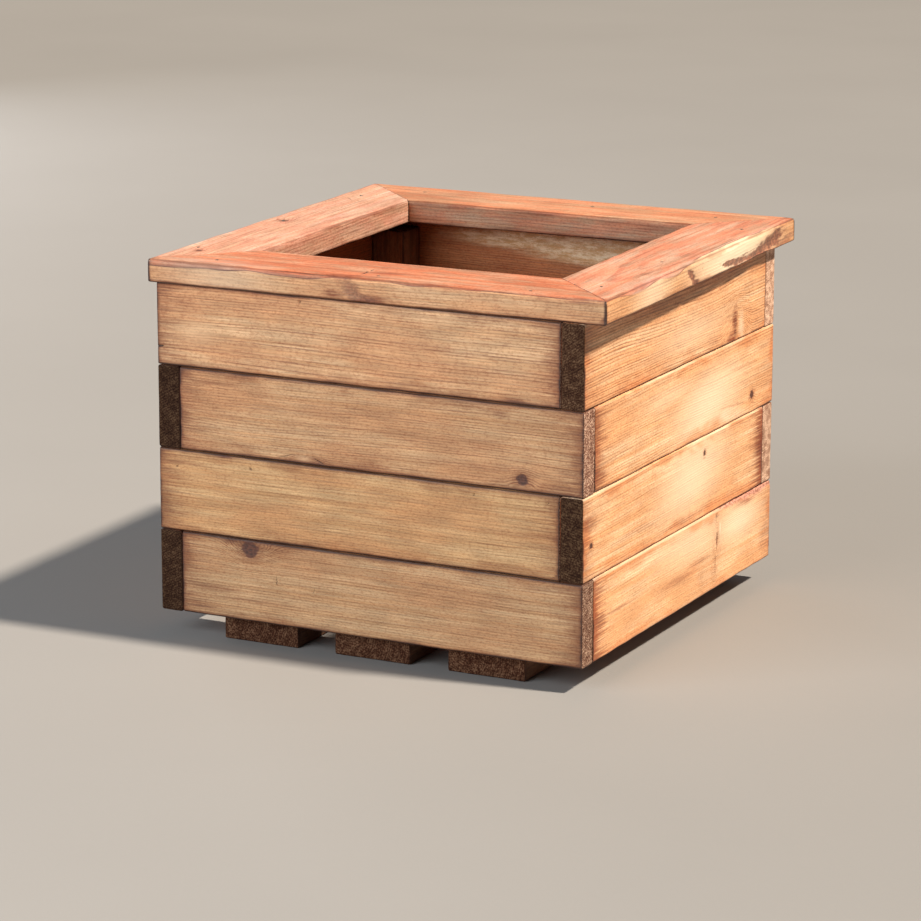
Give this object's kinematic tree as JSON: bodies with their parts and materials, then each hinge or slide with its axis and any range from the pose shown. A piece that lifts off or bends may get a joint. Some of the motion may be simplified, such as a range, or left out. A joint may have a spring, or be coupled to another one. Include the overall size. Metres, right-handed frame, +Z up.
{
  "type": "timber planter box",
  "caption": "Square timber planter box: pinwheel courses of boards round corner posts, a mitred cap frame with a square mouth, and a slatted base.",
  "frame": {"origin": "on the ground, under the centre of the cap", "axes": "+Z up, +X to the right and -Y to the front, both square to the walls of the box"},
  "size_m": [0.5676, 0.5676, 0.436],
  "materials": {
    "stained_softwood": "planed softwood with a red-brown translucent stain, satin",
    "plain_softwood": "planed softwood with a thin brown stain, matt",
    "screw_steel": "yellow zinc plate",
    "nail_steel": "bright steel"
  },
  "bodies": {
    "root": {"front_board_1": "stained_softwood", "front_board_2": "stained_softwood", "front_board_3": "stained_softwood", "front_board_4": "stained_softwood", "right_board_1": "stained_softwood", "right_board_2": "stained_softwood", "right_board_3": "stained_softwood", "right_board_4": "stained_softwood", "back_board_1": "stained_softwood", "back_board_2": "stained_softwood", "back_board_3": "stained_softwood", "back_board_4": "stained_softwood", "left_board_1": "stained_softwood", "left_board_2": "stained_softwood", "left_board_3": "stained_softwood", "left_board_4": "stained_softwood", "cap_front": "stained_softwood", "cap_right": "stained_softwood", "cap_back": "stained_softwood", "cap_left": "stained_softwood", "corner_post_front_left": "plain_softwood", "corner_post_front_right": "plain_softwood", "corner_post_back_right": "plain_softwood", "corner_post_back_left": "plain_softwood", "floor_bearer_front": "plain_softwood", "floor_bearer_back": "plain_softwood", "base_slat_left": "plain_softwood", "base_slat_middle": "plain_softwood", "base_slat_right": "plain_softwood", "wall_screws": "screw_steel", "bearer_screws": "screw_steel", "slat_screws": "screw_steel", "cap_nails": "nail_steel"}
  },
  "joints": []
}
